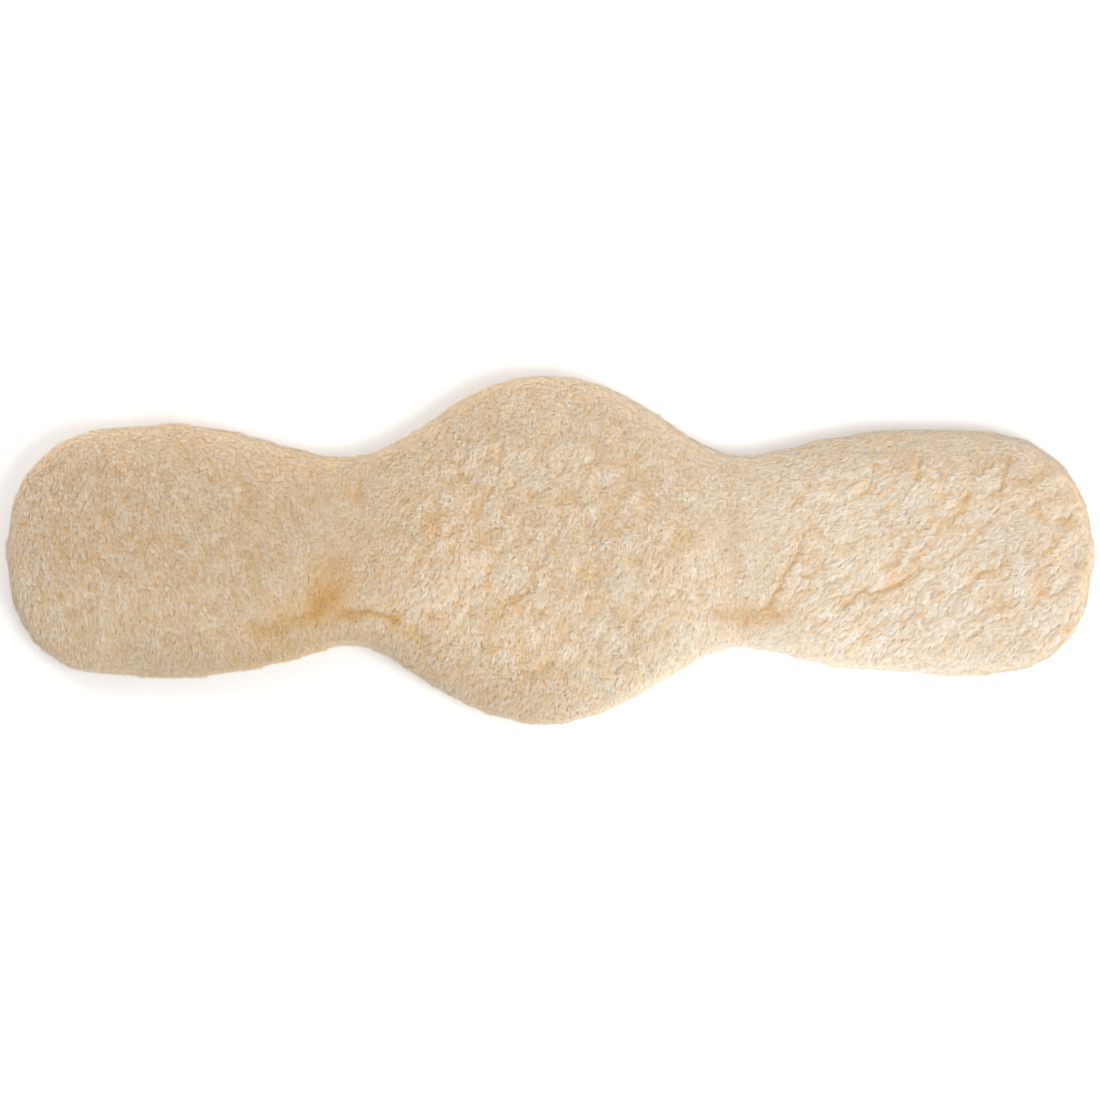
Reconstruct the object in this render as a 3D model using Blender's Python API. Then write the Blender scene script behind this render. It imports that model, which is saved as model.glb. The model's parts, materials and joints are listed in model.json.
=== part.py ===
"""Fleece liner of an anatomic saddle girth: the removable pad between the horse and the girth.

It lies flat with its fleece up. +X runs along the liner, +Y towards its front edge and +Z out of the fleece, and the
origin is on the ground under the middle. The fleece is rolled round a foam core and meets the woven backing under the
liner, where a binding tape covers the join. Hook tapes on the backing grip the girth. The core is made of three
blocks, so that the liner folds at its two narrow waists.
"""

import math

import bmesh
import bpy
from mathutils import Matrix, Vector

MM = 0.001

# Half the width at distances from the middle, in millimetres: broad middle, waist, flared arm.
OUTLINE = [
    (0, 87.0),
    (20, 84.6),
    (40, 77.0),
    (60, 65.6),
    (80, 52.6),
    (97, 47.6),
    (115, 50.2),
    (140, 57.0),
    (170, 61.3),
    (195, 62.2),
    (210, 62.0),
]
STATIONS = 20  # columns from the middle to the start of the rounded end
END_START = 210.0
END_LENGTH = 60.0
END_POWER = 2.4  # 2 is an ellipse, more is squarer
END_STEPS = 8
HALF_LENGTH = END_START + END_LENGTH

# Heights above the ground, in millimetres.
HOOK_TAPE_THICK = 1.6
GAP = 0.3
BACKING_LOW = HOOK_TAPE_THICK + GAP
BACKING_THICK = 1.3
FOAM_LOW = BACKING_LOW + BACKING_THICK + GAP
FOAM_THICK = 10.0
BINDING_LOW = 0.9
BINDING_THICK = 0.7
LABEL_THICK = 0.4

# The fleece's section, from its rolled edge to its crown.
ROLL_LOW = 2.0
ROLL_MID = 12.5
ROLL_TOP = 27.0
ROLL_UNDER = 13.0  # how far the roll turns in under the liner
ROLL_OVER = 17.0  # how far in the top of the roll is
CROWN_MIDDLE = 5.0
CROWN_ARM = 3.5
WAIST_DIP = 2.5

# Distances in from the outline.
BACKING_INSET = 15.0
POCKET_INSET = 14.7
BINDING_OUTER = 10.0
BINDING_INNER = 20.0

# The waists, where the liner folds.
WAIST_START = 66.0
WAIST_END = 120.0
FOLD_X = 93.0
FOLD_Z = BACKING_LOW + BACKING_THICK / 2
CORE_END = 2.0  # how far each foam block stops short of the waist
FAR = 400.0
POCKET_RUN = 4.0  # how far a pocket's cutter runs past the piece it cuts

# Hook tapes: middle x, middle y, size along x, size along y.
MIDDLE_TAPE = (0.0, 31.0, 100.0, 38.0)
INNER_TAPE = (150.0, 0.0, 30.0, 66.0)
OUTER_TAPE = (215.0, 0.0, 34.0, 64.0)
TAPE_CORNER = 4.0
LABEL = (0.0, 0.0, 52.0, 18.0)
LABEL_CORNER = 1.5
CORNER_STEPS = 4

COLOURS = {
    "fleece": ((0.71, 0.55, 0.38, 1.0), 0.95),
    "foam": ((0.62, 0.58, 0.46, 1.0), 0.9),
    "backing": ((0.55, 0.46, 0.35, 1.0), 0.85),
    "binding": ((0.48, 0.38, 0.27, 1.0), 0.7),
    "hook_tape": ((0.60, 0.52, 0.41, 1.0), 0.6),
    "label": ((0.80, 0.78, 0.72, 1.0), 0.6),
}


def clear_scene():
    for obj in list(bpy.data.objects):
        bpy.data.objects.remove(obj, do_unlink=True)


def make_materials():
    made = {}
    for name, (colour, roughness) in COLOURS.items():
        material = bpy.data.materials.new(name)
        material.use_nodes = True
        shader = material.node_tree.nodes["Principled BSDF"]
        shader.inputs["Base Color"].default_value = colour
        shader.inputs["Roughness"].default_value = roughness
        shader.inputs["Metallic"].default_value = 0.0
        made[name] = material
    return made


def slope(i):
    """The outline's slope at its point i: level in the middle and where the end begins."""
    if i in (0, len(OUTLINE) - 1):
        return 0.0
    (x0, y0), (x1, y1) = OUTLINE[i - 1], OUTLINE[i + 1]
    return (y1 - y0) / (x1 - x0)


def half_width(x):
    """Half the liner's width at distance x from the middle, on a smooth curve through OUTLINE."""
    i = max(k for k in range(len(OUTLINE) - 1) if OUTLINE[k][0] <= x)
    (x0, y0), (x1, y1) = OUTLINE[i], OUTLINE[i + 1]
    run = x1 - x0
    t = (x - x0) / run
    start = (2 * t**3 - 3 * t**2 + 1) * y0 + (t**3 - 2 * t**2 + t) * run * slope(i)
    end = (3 * t**2 - 2 * t**3) * y1 + (t**3 - t**2) * run * slope(i + 1)
    return start + end


def quarter():
    """The outline's points from the middle of the front edge to the right-hand tip."""
    points = [(END_START * k / STATIONS, half_width(END_START * k / STATIONS)) for k in range(STATIONS)]
    end_width = OUTLINE[-1][1]
    for k in range(END_STEPS + 1):
        angle = math.radians(90 * (1 - k / END_STEPS))
        across = abs(math.cos(angle)) ** (2 / END_POWER) if k else 0.0
        up = math.sin(angle) ** (2 / END_POWER) if k < END_STEPS else 0.0
        points.append((END_START + END_LENGTH * across, end_width * up))
    return points


def front_edge():
    """The front edge from the left tip to the right tip."""
    right = quarter()
    left = [(-x, y) for x, y in reversed(right[1:])]
    return left + right


def inset_edge(inset):
    """The front edge moved in by inset, square to the outline."""
    edge = [Vector(p) for p in front_edge()]
    last = len(edge) - 1
    moved = []
    for i, point in enumerate(edge):
        if i in (0, last):
            moved.append(Vector((point.x - math.copysign(inset, point.x), 0.0)))
            continue
        along = (edge[i + 1] - edge[i - 1]).normalized()
        moved.append(point + inset * Vector((along.y, -along.x)))
    return moved


def ring(bm, inset, z):
    """One ring of vertices: front edge from left tip to right tip, then rear edge back."""
    edge = inset_edge(inset)
    front = [bm.verts.new((p.x, p.y, z)) for p in edge]
    rear = [bm.verts.new((p.x, -p.y, z)) for p in edge[1:-1]]
    return front, rear


def around(rings):
    """A ring's vertices in one anticlockwise loop."""
    front, rear = rings
    return list(reversed(front)) + rear


def bridge(bm, lower, upper):
    low, high = around(lower), around(upper)
    count = len(low)
    for i in range(count):
        j = (i + 1) % count
        bm.faces.new((low[i], low[j], high[j], high[i]))


def crown(x):
    """How far the pile stands above the roll along the liner's middle line."""
    arm = min(1.0, max(0.0, (abs(x) - WAIST_START) / (WAIST_END - WAIST_START)))
    height = CROWN_MIDDLE + (CROWN_ARM - CROWN_MIDDLE) * arm
    waist = math.exp(-(((abs(x) - FOLD_X) / 22.0) ** 2))
    return height - WAIST_DIP * waist


def lid(bm, rings, crowned, upwards):
    """Closes a ring with strips from the front edge to the rear edge, crowned or flat."""
    front, rear = rings
    rear = [front[0], *rear, front[-1]]
    shares = (-0.5, 0.0, 0.5) if crowned else ()
    columns = []
    for i, (a, b) in enumerate(zip(front, rear)):
        if a is b:
            columns.append([a])
            continue
        column = [a]
        for s in shares:
            point = a.co.lerp(b.co, (1 + s) / 2)
            tip = min(1.0, (min(i, len(front) - 1 - i)) / END_STEPS)
            point.z += crown(point.x) * tip * (1 + math.cos(math.pi * s)) / 2
            column.append(bm.verts.new(point))
        columns.append([*column, b])
    for left, right in zip(columns, columns[1:]):
        strip(bm, left, right, upwards)


def strip(bm, left, right, upwards):
    """Faces between two columns, where a tip's column is a single vertex."""
    steps = max(len(left), len(right)) - 1
    for k in range(steps):
        corners = []
        for column, order in ((left, (k, k + 1)), (right, (k + 1, k))):
            corners += [column[0]] if len(column) == 1 else [column[n] for n in order]
        bm.faces.new(corners if upwards else reversed(corners))


def pillow(levels, crowned=False):
    """A closed solid with the liner's outline: levels are (inset, height) from the bottom up, in millimetres."""
    bm = bmesh.new()
    rings = [ring(bm, inset, z) for inset, z in levels]
    for lower, upper in zip(rings, rings[1:]):
        bridge(bm, lower, upper)
    lid(bm, rings[0], False, False)
    lid(bm, rings[-1], crowned, True)
    return bm


def band(outer, inner, low, high):
    """A flat tape that follows the outline between two insets."""
    bm = bmesh.new()
    corners = [(outer, low), (outer, high), (inner, high), (inner, low)]
    rings = [ring(bm, inset, z) for inset, z in corners]
    for k in range(4):
        bridge(bm, rings[k], rings[(k + 1) % 4])
    return bm


def fleece_levels():
    """The fleece's profile: up round the rolled edge to the start of the crown."""
    levels = []
    for degrees in (0, 30, 60, 90):
        a = math.radians(degrees)
        inset = ROLL_UNDER * (1 - math.sin(a))
        levels.append((inset, ROLL_MID - (ROLL_MID - ROLL_LOW) * math.cos(a)))
    for degrees in (18, 36, 54, 72, 90):
        a = math.radians(degrees)
        inset = ROLL_OVER * (1 - math.cos(a))
        levels.append((inset, ROLL_MID + (ROLL_TOP - ROLL_MID) * math.sin(a)))
    return levels


def trim(bm, low, high):
    """Keeps what lies between two upright planes across the liner, and closes the cuts."""
    for x, normal in ((low, (-1, 0, 0)), (high, (1, 0, 0))):
        if abs(x) > HALF_LENGTH:
            continue
        found = bmesh.ops.bisect_plane(
            bm,
            geom=[*bm.verts, *bm.edges, *bm.faces],
            dist=1e-5,
            plane_co=(x, 0, 0),
            plane_no=normal,
            clear_outer=True,
        )
        cut = [e for e in found["geom_cut"] if isinstance(e, bmesh.types.BMEdge)]
        bmesh.ops.holes_fill(bm, edges=cut)
    return bm


def keep_side(bm, side):
    """Keeps only the pieces in front of (side 1) or behind (side -1) the middle line."""
    gone = [v for v in bm.verts if v.co.y * side < 0]
    bmesh.ops.delete(bm, geom=gone, context="VERTS")
    return bm


def slab(place, low, thick, corner):
    """A flat piece with rounded corners: place is (middle x, middle y, size along x, size along y)."""
    bm = bmesh.new()
    x, y, length, width = place
    loop = []
    for quadrant, (sx, sy) in enumerate(((1, 1), (-1, 1), (-1, -1), (1, -1))):
        for k in range(CORNER_STEPS + 1):
            a = math.radians(90 * (quadrant + k / CORNER_STEPS))
            px = x + sx * (length / 2 - corner) + corner * math.cos(a)
            py = y + sy * (width / 2 - corner) + corner * math.sin(a)
            loop.append(bm.verts.new((px, py, low)))
    base = bm.faces.new(reversed(loop))
    raised = bmesh.ops.extrude_face_region(bm, geom=[base], use_keep_orig=True)
    top = [v for v in raised["geom"] if isinstance(v, bmesh.types.BMVert)]
    bmesh.ops.translate(bm, verts=top, vec=(0, 0, thick))
    bmesh.ops.recalc_face_normals(bm, faces=bm.faces)
    return bm


def mirrored(place, side):
    x, y, length, width = place
    return side * x, y, length, width


class Maker:
    """Turns meshes into named objects, and hangs each on the empty of the body it moves with."""

    def __init__(self):
        self.materials = make_materials()
        self.empties = {}

    def body(self, name, pivot):
        empty = bpy.data.objects.new(name, None)
        empty.location = pivot * MM
        empty.empty_display_size = 0.03
        bpy.context.collection.objects.link(empty)
        self.empties[name] = empty

    def add(self, name, bm, body, material):
        """Makes an object from a mesh in millimetres, with its origin at its body's pivot."""
        bmesh.ops.recalc_face_normals(bm, faces=bm.faces)
        mesh = bpy.data.meshes.new(name)
        bm.to_mesh(mesh)
        bm.free()
        pivot = self.empties[body].location
        mesh.transform(Matrix.Translation(-pivot) @ Matrix.Scale(MM, 4))
        mesh.materials.append(self.materials[material])
        obj = bpy.data.objects.new(name, mesh)
        bpy.context.collection.objects.link(obj)
        obj.parent = self.empties[body]
        return obj

    def hollow(self, obj, cutter_mesh, body):
        """Cuts a pocket into obj with a hidden cutter."""
        cutter = self.add(obj.name + "_pocket", cutter_mesh, body, "foam")
        cutter.hide_render = True
        cutter.display_type = "WIRE"
        modifier = obj.modifiers.new("pocket", "BOOLEAN")
        modifier.operation = "DIFFERENCE"
        modifier.object = cutter


def pocket(low, high, top):
    return trim(pillow([(POCKET_INSET, -5.0), (POCKET_INSET, top)]), low - POCKET_RUN, high + POCKET_RUN)


def fleece(maker, name, body, low, high, pocket_top):
    """One stretch of fleece, hollow underneath for the core and the backing."""
    obj = maker.add(name, trim(pillow(fleece_levels(), True), low, high), body, "fleece")
    maker.hollow(obj, pocket(low, high, pocket_top), body)
    for face in obj.data.polygons:
        face.use_smooth = True
    obj.data.set_sharp_from_angle(angle=math.radians(40))


def backing(maker, name, body, low, high):
    levels = [(BACKING_INSET, BACKING_LOW), (BACKING_INSET, BACKING_LOW + BACKING_THICK)]
    maker.add(name, trim(pillow(levels), low, high), body, "backing")


def foam_core(maker, name, body, low, high):
    levels = [(BACKING_INSET, FOAM_LOW), (BACKING_INSET, FOAM_LOW + FOAM_THICK)]
    maker.add(name, trim(pillow(levels), low, high), body, "foam")


def binding(low, high):
    return trim(band(BINDING_OUTER, BINDING_INNER, BINDING_LOW, BINDING_LOW + BINDING_THICK), low, high)


def binding_pair(maker, stem, body, low, high):
    for side, place in ((1, "front"), (-1, "rear")):
        maker.add(f"{stem}_{place}", keep_side(binding(low, high), side), body, "binding")


def hook_tape(maker, name, body, place):
    maker.add(name, slab(place, 0.0, HOOK_TAPE_THICK, TAPE_CORNER), body, "hook_tape")


def make_middle(maker):
    """The broad middle: fleece, core, backing, two bindings, two hook tapes and the label."""
    end = WAIST_START - GAP / 2
    core_top = FOAM_LOW + FOAM_THICK + GAP
    fleece(maker, "fleece_centre", "centre", -end, end, core_top)
    foam_core(maker, "foam_core_centre", "centre", -(WAIST_START - CORE_END), WAIST_START - CORE_END)
    backing(maker, "backing_centre", "centre", -end, end)
    binding_pair(maker, "binding_centre", "centre", -end, end)
    x, y, length, width = MIDDLE_TAPE
    hook_tape(maker, "hook_tape_centre_front", "centre", (x, y, length, width))
    hook_tape(maker, "hook_tape_centre_rear", "centre", (x, -y, length, width))
    label_low = BACKING_LOW - GAP - LABEL_THICK
    maker.add("care_label", slab(LABEL, label_low, LABEL_THICK, LABEL_CORNER), "centre", "label")


def span(side, near, far):
    """A stretch of the liner on one side of the middle, lowest x first."""
    return tuple(sorted((side * near, side * far)))


def make_arm(maker, hand, side):
    """One flared arm, which turns about its waist."""
    body = f"{hand}_arm"
    low, high = span(side, WAIST_END + GAP / 2, FAR)
    core_top = FOAM_LOW + FOAM_THICK + GAP
    fleece(maker, f"fleece_{hand}_arm", body, low, high, core_top)
    foam_core(maker, f"foam_core_{hand}_arm", body, *span(side, WAIST_END + CORE_END, FAR))
    backing(maker, f"backing_{hand}_arm", body, low, high)
    maker.add(f"binding_{hand}_arm", binding(low, high), body, "binding")
    hook_tape(maker, f"hook_tape_{hand}_inner", body, mirrored(INNER_TAPE, side))
    hook_tape(maker, f"hook_tape_{hand}_outer", body, mirrored(OUTER_TAPE, side))


def make_waist(maker, hand, side):
    """One narrow waist, with no core in it, so that it bends."""
    low, high = span(side, WAIST_START + GAP / 2, WAIST_END - GAP / 2)
    fleece(maker, f"fleece_{hand}_waist", "centre", low, high, FOAM_LOW)
    backing(maker, f"backing_{hand}_waist", "centre", low, high)
    binding_pair(maker, f"binding_{hand}_waist", "centre", low, high)


def main():
    clear_scene()
    maker = Maker()
    maker.body("centre", Vector((0, 0, 0)))
    make_middle(maker)
    for hand, side in (("left", -1), ("right", 1)):
        maker.body(f"{hand}_arm", Vector((side * FOLD_X, 0, FOLD_Z)))
        make_waist(maker, hand, side)
        make_arm(maker, hand, side)


main()
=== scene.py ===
# %% [markdown]
# # A fleece liner for a saddle girth
# The liner is the soft pad that lies between a horse and its girth. It has a deep pile fleece on the
# horse's side, rolled round the edge, a foam core in three blocks, and a woven back with hook tape that
# grips the girth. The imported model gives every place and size. This lesson makes what the eye sees: the
# swell of the pad, the lie of the pile, and the sewing on the back.

# %% The frame
import json
import math

import bmesh
import bpy
import numpy as np
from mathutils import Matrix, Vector

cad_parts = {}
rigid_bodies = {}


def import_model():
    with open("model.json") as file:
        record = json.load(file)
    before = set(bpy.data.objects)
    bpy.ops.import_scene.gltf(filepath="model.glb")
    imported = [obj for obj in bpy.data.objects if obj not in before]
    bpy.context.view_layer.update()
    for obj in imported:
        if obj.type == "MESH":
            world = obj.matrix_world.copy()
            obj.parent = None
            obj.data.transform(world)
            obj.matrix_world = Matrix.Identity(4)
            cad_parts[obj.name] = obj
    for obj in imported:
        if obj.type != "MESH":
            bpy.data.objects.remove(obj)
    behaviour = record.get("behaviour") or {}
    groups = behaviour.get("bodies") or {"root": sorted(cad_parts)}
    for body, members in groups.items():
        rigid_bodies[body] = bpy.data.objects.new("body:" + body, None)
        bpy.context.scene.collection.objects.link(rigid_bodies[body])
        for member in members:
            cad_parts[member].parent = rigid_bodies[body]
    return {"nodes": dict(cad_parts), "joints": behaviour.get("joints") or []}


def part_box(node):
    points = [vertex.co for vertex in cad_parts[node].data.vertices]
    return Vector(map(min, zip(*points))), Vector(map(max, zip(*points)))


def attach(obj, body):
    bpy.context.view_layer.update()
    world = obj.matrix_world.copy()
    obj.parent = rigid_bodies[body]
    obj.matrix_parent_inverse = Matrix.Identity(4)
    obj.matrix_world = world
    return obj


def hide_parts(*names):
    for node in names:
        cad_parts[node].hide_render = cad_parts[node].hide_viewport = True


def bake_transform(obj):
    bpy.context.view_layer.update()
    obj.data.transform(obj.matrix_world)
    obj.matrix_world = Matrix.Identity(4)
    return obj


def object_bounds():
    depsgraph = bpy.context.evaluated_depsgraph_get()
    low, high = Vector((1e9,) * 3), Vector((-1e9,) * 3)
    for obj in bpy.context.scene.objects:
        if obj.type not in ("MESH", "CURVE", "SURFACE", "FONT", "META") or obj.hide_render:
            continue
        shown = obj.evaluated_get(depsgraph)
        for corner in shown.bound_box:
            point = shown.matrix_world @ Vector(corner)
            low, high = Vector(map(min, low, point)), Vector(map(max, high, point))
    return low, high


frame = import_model()
cad_low, cad_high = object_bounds()
MM = 0.001
print("the packed model's box:", [round(v, 4) for v in (*cad_low, *cad_high)])

# %% [markdown]
# ## Camera
# The liner is shown flat, from straight above, and nearly fills the picture's width. A long lens from far
# away keeps the rolled edge from leaning outwards, as a short lens close by would make it.

# %% Camera
LENS = 120.0
FILLED = 0.99  # share of the picture's width that the liner takes
length = cad_high.x - cad_low.x
widest_height = 0.4 * cad_high.z  # where the rolled edge reaches furthest out
camera_data = bpy.data.cameras.new("camera")
camera_data.lens = LENS
camera = bpy.data.objects.new("camera", camera_data)
distance = length / FILLED * LENS / camera_data.sensor_width
camera.location = (0, 0, widest_height + distance)
bpy.context.collection.objects.link(camera)
bpy.context.scene.camera = camera
print("camera", round(distance, 3), "m above the liner")

# %% [markdown]
# ## Floor and light
# A pale floor, a soft key lamp on the rear right and a wider fill lamp on the front left. The key makes the
# rear edge of the right arm the lightest place. The even world light fills the rest, so that the pile's own
# small shadows stay soft.

# %% Floor and light
FLOOR_SIZE = 6.0
FLOOR_COLOUR = (0.92, 0.92, 0.92, 1)


def plain_material(name, colour, roughness):
    material = bpy.data.materials.new(name)
    material.use_nodes = True
    shader = material.node_tree.nodes["Principled BSDF"]
    shader.inputs["Base Color"].default_value = colour
    shader.inputs["Roughness"].default_value = roughness
    return material


def lamp(name, place, size, power, colour):
    """A square area lamp that looks at the middle of the liner."""
    data = bpy.data.lights.new(name, "AREA")
    data.shape = "SQUARE"
    data.size = size
    data.energy = power
    data.color = colour
    made = bpy.data.objects.new(name, data)
    made.location = place
    made.rotation_euler = (-Vector(place)).to_track_quat("-Z", "Y").to_euler()
    bpy.context.collection.objects.link(made)
    return made


bpy.ops.mesh.primitive_plane_add(size=FLOOR_SIZE)
floor = bpy.context.object
floor.name = "floor"
floor.data.materials.append(plain_material("floor_paint", FLOOR_COLOUR, 0.9))
lamp("key", (0.38, -0.3, 0.65), 0.6, 6.6, (1.0, 0.99, 0.98))
lamp("fill", (-0.5, 0.72, 0.6), 0.8, 6.9, (1.0, 0.97, 0.95))
world = bpy.data.worlds.new("studio")
world.use_nodes = True
world.node_tree.nodes["Background"].inputs["Color"].default_value = (1, 1, 1, 1)
world.node_tree.nodes["Background"].inputs["Strength"].default_value = 0.56
bpy.context.scene.world = world
bpy.context.scene.view_settings.view_transform = "Standard"
print("one key lamp, one fill lamp and a white world")

# %% [markdown]
# ## The outline
# A broad middle, two waists and two flared arms. The pile makes the outline a little uneven, so the front
# and rear edges each have their own points. Between them runs a smooth curve, and each end is a squared
# ellipse.

# %% The outline
FRONT = [
    (-210, 61.8), (-181, 63.0), (-150, 57.8), (-121, 49.5), (-102, 46.3), (-82, 51.3), (-62, 63.2),
    (-42, 77.0), (-21, 85.3), (0, 87.0), (19, 84.8), (37, 77.8), (57, 65.4), (77, 52.4), (92, 47.7),
    (108, 49.0), (137, 55.8), (166, 59.8), (190, 60.0), (210, 59.4),
]
REAR = [
    (-210, 62.7), (-181, 63.4), (-150, 60.2), (-121, 53.2), (-102, 47.6), (-82, 52.4), (-62, 65.6),
    (-42, 77.0), (-21, 84.5), (0, 87.0), (19, 83.8), (37, 76.2), (57, 65.3), (77, 53.3), (92, 49.0),
    (108, 50.5), (137, 57.9), (166, 60.8), (190, 62.7), (210, 63.0),
]
END_START = 210.0
END_LENGTH = length / 2 / MM - END_START
LEFT_REACH = -0.1  # how much longer the left end is than the right end
END_POWERS = {1: (2.25, 2.2), -1: (2.45, 2.5)}  # front and rear edge, at the left and the right end
STATION = 3.0
END_STEPS = 24


def smooth_curve(points, x):
    """A smooth curve through points, level at both ends."""
    px, py = np.array(points, float).T
    slope = np.gradient(py, px)
    slope[[0, -1]] = 0
    i = np.clip(np.searchsorted(px, x, side="right") - 1, 0, len(px) - 2)
    run = px[i + 1] - px[i]
    t = (x - px[i]) / run
    start = (2 * t**3 - 3 * t**2 + 1) * py[i] + (t**3 - 2 * t**2 + t) * run * slope[i]
    end = (3 * t**2 - 2 * t**3) * py[i + 1] + (t**3 - t**2) * run * slope[i + 1]
    return start + end


def edge(points, side):
    """One long edge from the left tip to the right tip, in metres."""
    angle = np.radians(np.linspace(0, 90, END_STEPS, endpoint=False))
    left, right = END_POWERS[side]
    x = np.arange(-END_START, END_START + STATION / 2, STATION)
    y = smooth_curve(points, x)
    left_x = -END_START - np.cos(angle) ** (2 / left) * (END_LENGTH + LEFT_REACH)
    right_x = END_START + np.cos(angle[::-1]) ** (2 / right) * END_LENGTH
    xs = np.concatenate([left_x, x, right_x])
    left_y = np.sin(angle) ** (2 / left) * y[0]
    right_y = np.sin(angle[::-1]) ** (2 / right) * y[-1]
    ys = np.concatenate([left_y, y, right_y])
    return np.column_stack([xs, side * ys]) * MM


front_edge = edge(FRONT, 1)
rear_edge = edge(REAR, -1)
print(len(front_edge), "points along each edge")

# %% [markdown]
# ## The pad's plain shape
# The pad is a pillow: rings that follow the outline climb round the rolled edge, and strips across the top
# rise to a low crown. Each ring is the outline moved in, square to itself. Building it ring by ring keeps
# the roll's radius the same all round, which scaling the outline would not.

# %% The pad's plain shape
FOLD = abs(frame["joints"][0]["pos_m"][0])
WAIST_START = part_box("fleece_right_waist")[0][0]
WAIST_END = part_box("fleece_right_waist")[1][0]
BED_INSET = -0.4 * MM  # the bed's edge starts a little past the outline, because remeshing draws it in
ROLL_LOW = 3.6 * MM
ROLL_MID = 12.5 * MM
ROLL_TOP = 21.8 * MM
ROLL_UNDER = 12.0 * MM
ROLL_OVER = 17.0 * MM
CROWN_MIDDLE = 4.6 * MM
CROWN_ARM = 3.0 * MM
WAIST_DIP = 2.4 * MM
ROLL_STEPS = 7
ACROSS = 14


def crown_height(x):
    """How far the top rises above the roll along the middle line."""
    arm = np.clip((abs(x) - WAIST_START) / (WAIST_END - WAIST_START), 0, 1)
    dip = np.exp(-(((abs(x) - FOLD) / (22 * MM)) ** 2))
    return CROWN_MIDDLE + (CROWN_ARM - CROWN_MIDDLE) * arm - WAIST_DIP * dip


def moved_in(line, side, inset):
    """An edge moved in by inset, square to itself."""
    along = np.gradient(line, axis=0)
    along[0] = along[-1] = (0, side)
    along[-1] *= -1
    along /= np.linalg.norm(along, axis=1)[:, None]
    inwards = side * np.column_stack([along[:, 1], -along[:, 0]])
    return line + inwards * inset


def roll_levels():
    """The roll's profile from under the pad to the start of the crown, as (inset, height)."""
    under = np.radians(np.linspace(0, 90, ROLL_STEPS))
    over = np.radians(np.linspace(0, 90, ROLL_STEPS + 3))[1:]
    drop, rise = ROLL_MID - ROLL_LOW, ROLL_TOP - ROLL_MID
    levels = [(ROLL_UNDER * (1 - math.sin(a)), ROLL_MID - drop * math.cos(a)) for a in under]
    levels += [(ROLL_OVER * (1 - math.cos(a)), ROLL_MID + rise * math.sin(a)) for a in over]
    return levels


def pillow_points():
    """Every row of points from the middle of the underside, round the roll, to the middle of the top."""
    rows = []
    for inset, height in roll_levels():
        front = moved_in(front_edge, 1, inset + BED_INSET)
        rear = moved_in(rear_edge, -1, inset + BED_INSET)
        rows.append((front, rear, np.full(len(front), height)))
    return rows


def make_pillow(name):
    bm = bmesh.new()
    rows = []
    for front, rear, height in pillow_points():
        last = len(front) - 1
        top_side = [bm.verts.new((*front[i], height[i])) for i in range(last + 1)]
        low_side = [bm.verts.new((*rear[i], height[i])) for i in range(1, last)]
        rows.append((top_side, [top_side[0], *low_side, top_side[-1]]))
    for (f0, r0), (f1, r1) in zip(rows, rows[1:]):
        for i in range(len(f0) - 1):
            bm.faces.new((f0[i + 1], f0[i], f1[i], f1[i + 1]))
            bm.faces.new((r0[i], r0[i + 1], r1[i + 1], r1[i]))
    for row, upwards in ((rows[0], False), (rows[-1], True)):
        close_across(bm, row, upwards)
    mesh = bpy.data.meshes.new(name)
    bm.to_mesh(mesh)
    bm.free()
    made = bpy.data.objects.new(name, mesh)
    bpy.context.collection.objects.link(made)
    return made


def close_across(bm, row, upwards):
    """Strips from the front edge to the rear edge, crowned on the top side."""
    columns = []
    last = len(row[0]) - 1
    for i, (a, b) in enumerate(zip(*row)):
        if a is b:
            columns.append([a])
            continue
        column = [a]
        end = math.sin(math.pi / 2 * min(1.0, min(i, last - i) / END_STEPS))
        for k in range(1, ACROSS):
            s = 2 * k / ACROSS - 1
            point = a.co.lerp(b.co, k / ACROSS)
            if upwards:
                point.z += float(crown_height(point.x)) * end * (1 + math.cos(math.pi * s)) / 2
            column.append(bm.verts.new(point))
        columns.append([*column, b])
    for left, right in zip(columns, columns[1:]):
        for k in range(ACROSS):
            pick_left = [left[k], left[k + 1]] if len(left) > 1 else left
            pick_right = [right[k + 1], right[k]] if len(right) > 1 else right
            corners = pick_left + pick_right
            bm.faces.new(corners if upwards else corners[::-1])


pad = make_pillow("pad")
print("pad:", len(pad.data.polygons), "faces")

# %% [markdown]
# ## Swelling the pad
# A real pad is a bag pulled over foam, so it is tight and uneven in a way that no formula gives. The shape
# is remeshed into even squares, and cloth simulation with air pressure lets it swell. The underside is
# pinned, as the sewing to the back pins it. The swelling is capped so that the outline stays what the frame
# says.

# %% Swelling the pad
VOXEL = 4.5 * MM
PRESSURE = 4.0
SWELL_FRAMES = 20
SWELL_UP = 3.0 * MM
SWELL_OUT = 0.6 * MM
SEWN_BELOW = 7.0 * MM


def read_points(mesh):
    points = np.empty(len(mesh.vertices) * 3, np.float32)
    mesh.vertices.foreach_get("co", points)
    return points.reshape(-1, 3).astype(float)


def write_points(mesh, points):
    mesh.vertices.foreach_set("co", points.astype(np.float32).ravel())
    mesh.update()


def apply_modifiers(obj):
    """The object's mesh becomes what its modifiers make."""
    depsgraph = bpy.context.evaluated_depsgraph_get()
    made = bpy.data.meshes.new_from_object(obj.evaluated_get(depsgraph))
    obj.modifiers.clear()
    obj.data = made


def remesh(obj, size):
    voxels = obj.modifiers.new("voxels", "REMESH")
    voxels.mode = "VOXEL"
    voxels.voxel_size = size
    evener = obj.modifiers.new("evener", "SMOOTH")
    evener.iterations = 4
    apply_modifiers(obj)


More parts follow.
